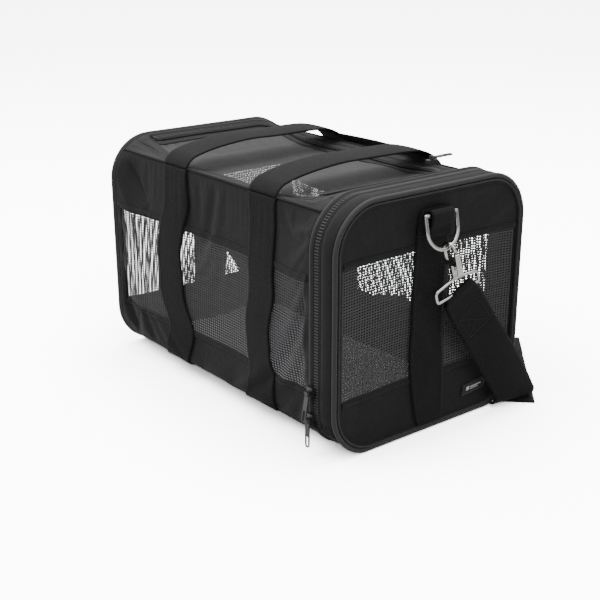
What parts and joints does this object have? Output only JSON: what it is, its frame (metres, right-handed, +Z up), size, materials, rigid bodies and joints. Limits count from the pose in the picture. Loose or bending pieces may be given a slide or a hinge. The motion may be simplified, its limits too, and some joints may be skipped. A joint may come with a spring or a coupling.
{
  "type": "pet carrier bag",
  "caption": "Soft-sided pet carrier bag with mesh windows, a zipped end door, a zipped top flap, carrying handles and a clip-on shoulder strap.",
  "frame": {"origin": "middle of the flat base, on the ground", "axes": "+X towards the door end, +Y towards the side where the shoulder strap lies, +Z up"},
  "size_m": [0.4224, 0.3484, 0.2272],
  "materials": {
    "body_fabric": "matt woven polyester",
    "door_fabric": "matt woven polyester",
    "top_fabric": "matt woven polyester",
    "window_mesh": "open square knitted mesh",
    "top_mesh": "open square knitted mesh",
    "piping": "satin bias tape over cord",
    "rim_tape": "satin bound edge",
    "zip_tape": "woven tape with nylon coil",
    "webbing": "ribbed polyester webbing",
    "label": "woven satin label",
    "fleece": "brushed fleece",
    "board": "matt fabric-covered board",
    "nickel": "polished nickel plate",
    "gunmetal": "satin gunmetal plate",
    "glide_plastic": "satin moulded plastic"
  },
  "bodies": {
    "bag": {"bottom_panel": "body_fabric", "side_left": "body_fabric", "side_left_mesh": "window_mesh", "side_right": "body_fabric", "side_right_mesh": "window_mesh", "top_border": "top_fabric", "rear_panel": "body_fabric", "rear_mesh": "window_mesh", "rear_piping": "piping", "rear_webbing": "webbing", "rear_ring_tab": "webbing", "body_rim": "rim_tape", "door_zip_body": "zip_tape", "hinge_gusset": "body_fabric", "flap_zip_body": "zip_tape", "base_board": "board", "fleece_pad": "fleece", "band_left_front": "webbing", "band_left_rear": "webbing", "band_right_front": "webbing", "band_right_rear": "webbing", "strap_drop_front": "webbing", "strap_turn_front": "webbing", "strap_run": "webbing", "strap_turn_rear": "webbing", "strap_drop_rear": "webbing"},
    "door": {"door_zip_door": "zip_tape", "door_gusset": "body_fabric", "door_piping": "piping", "door_panel": "door_fabric", "door_mesh": "window_mesh", "door_webbing": "webbing", "door_ring_tab": "webbing", "door_label": "label"},
    "flap": {"flap_panel": "top_fabric", "flap_mesh": "top_mesh", "flap_zip_flap": "zip_tape"},
    "carry_handle_left": {"handle_left": "webbing"},
    "carry_handle_right": {"handle_right": "webbing"},
    "d_ring_front": {"ring_front": "nickel"},
    "snap_hook_front": {"snap_front": "nickel"},
    "snap_gate_front": {"gate_front": "nickel"},
    "strap_loop_front": {"loop_front": "nickel"},
    "strap_tail_front": {"strap_end_front": "webbing"},
    "d_ring_rear": {"ring_rear": "nickel"},
    "snap_hook_rear": {"snap_rear": "nickel"},
    "snap_gate_rear": {"gate_rear": "nickel"},
    "strap_loop_rear": {"loop_rear": "nickel"},
    "strap_tail_rear": {"strap_end_rear": "webbing"},
    "adjuster": {"strap_adjuster": "glide_plastic"},
    "zip_slider_upper": {"slider_upper": "gunmetal"},
    "zip_pull_upper": {"pull_upper": "gunmetal"},
    "zip_slider_lower": {"slider_lower": "gunmetal"},
    "zip_pull_lower": {"pull_lower": "gunmetal"},
    "zip_slider_top": {"slider_top": "gunmetal"},
    "zip_pull_top": {"pull_top": "gunmetal"}
  },
  "joints": [
    {"name": "door_hinge", "type": "hinge", "parent": "bag", "child": "door", "pos_m": [0.172, 0, 0.003], "axis": [0, 1, 0], "range_deg": [0, 70], "deforming": ["strap_drop_front"]},
    {"name": "flap_hinge", "type": "hinge", "parent": "bag", "child": "flap", "pos_m": [0, -0.0842, 0.21506], "axis": [1, 0, 0], "range_deg": [0, 180]},
    {"name": "handle_left_swing", "type": "hinge", "parent": "bag", "child": "carry_handle_left", "pos_m": [0, -0.09867, 0.20867], "axis": [1, 0, 0], "range_deg": [0, 180]},
    {"name": "handle_right_swing", "type": "hinge", "parent": "bag", "child": "carry_handle_right", "pos_m": [0, 0.1118, 0.174], "axis": [1, 0, 0], "range_deg": [0, 100]},
    {"name": "ring_front_swing", "type": "hinge", "parent": "door", "child": "d_ring_front", "pos_m": [0.1784, 0, 0.197], "axis": [0, -1, 0], "range_deg": [0, 150]},
    {"name": "snap_front_swing", "type": "hinge", "parent": "d_ring_front", "child": "snap_hook_front", "pos_m": [0.18396, 0.00541, 0.16839], "axis": [0, -0.9511, -0.309], "range_deg": [0, 60]},
    {"name": "gate_front_press", "type": "hinge", "parent": "snap_hook_front", "child": "snap_gate_front", "pos_m": [0.19016, 0.00946, 0.15593], "axis": [0, -0.9511, -0.309], "range_deg": [0, 22], "stiffness_Nm_per_rad": 0.004, "springref_deg": -5.73},
    {"name": "loop_front_swivel", "type": "hinge", "parent": "snap_hook_front", "child": "strap_loop_front", "pos_m": [0.18396, 0.0136, 0.14319], "axis": [0, -0.309, 0.9511], "range_deg": [0, 24]},
    {"name": "strap_tail_front_swing", "type": "hinge", "parent": "strap_loop_front", "child": "strap_tail_front", "pos_m": [0.18396, 0.01922, 0.12588], "axis": [-0.1392, -0.9418, -0.306], "range_deg": [0, 60]},
    {"name": "ring_rear_swing", "type": "hinge", "parent": "bag", "child": "d_ring_rear", "pos_m": [-0.1741, 0, 0.197], "axis": [0, 1, 0], "range_deg": [0, 150]},
    {"name": "snap_rear_swing", "type": "hinge", "parent": "d_ring_rear", "child": "snap_hook_rear", "pos_m": [-0.17966, 0.00541, 0.16839], "axis": [0, 0.9511, 0.309], "range_deg": [0, 60]},
    {"name": "gate_rear_press", "type": "hinge", "parent": "snap_hook_rear", "child": "snap_gate_rear", "pos_m": [-0.18586, 0.00946, 0.15593], "axis": [0, 0.9511, 0.309], "range_deg": [0, 22], "stiffness_Nm_per_rad": 0.004, "springref_deg": -5.73},
    {"name": "loop_rear_swivel", "type": "hinge", "parent": "snap_hook_rear", "child": "strap_loop_rear", "pos_m": [-0.17966, 0.0136, 0.14319], "axis": [0, 0.309, -0.9511], "range_deg": [0, 24]},
    {"name": "strap_tail_rear_swing", "type": "hinge", "parent": "strap_loop_rear", "child": "strap_tail_rear", "pos_m": [-0.17966, 0.01922, 0.12588], "axis": [-0.1392, 0.9418, 0.306], "range_deg": [0, 60]},
    {"name": "strap_adjust", "type": "slide", "parent": "bag", "child": "adjuster", "axis": [1, 0, 0], "range_m": [-0.07, 0.07]},
    {"name": "zip_lower_slide", "type": "slide", "parent": "bag", "child": "zip_slider_lower", "axis": [0, 0, 1], "range_m": [0, 0.05]},
    {"name": "zip_upper_slide", "type": "slide", "parent": "zip_slider_lower", "child": "zip_slider_upper", "axis": [0, 0, 1], "range_m": [0, 0.05]},
    {"name": "pull_upper_swing", "type": "hinge", "parent": "zip_slider_upper", "child": "zip_pull_upper", "pos_m": [0.1474, -0.1155, 0.057], "axis": [-1, 0, 0], "range_deg": [0, 140]},
    {"name": "pull_lower_swing", "type": "hinge", "parent": "zip_slider_lower", "child": "zip_pull_lower", "pos_m": [0.1474, -0.1155, 0.033], "axis": [-1, 0, 0], "range_deg": [0, 60]},
    {"name": "zip_top_slide", "type": "slide", "parent": "bag", "child": "zip_slider_top", "axis": [0, -1, 0], "range_m": [0, 0.11]},
    {"name": "pull_top_swing", "type": "hinge", "parent": "zip_slider_top", "child": "zip_pull_top", "pos_m": [0.1141, 0.052, 0.2256], "axis": [1, 0, 0], "range_deg": [0, 150]}
  ],
  "couplings": [
    {"joint": "handle_left_swing", "follows": "flap_hinge", "ratio": 1}
  ]
}
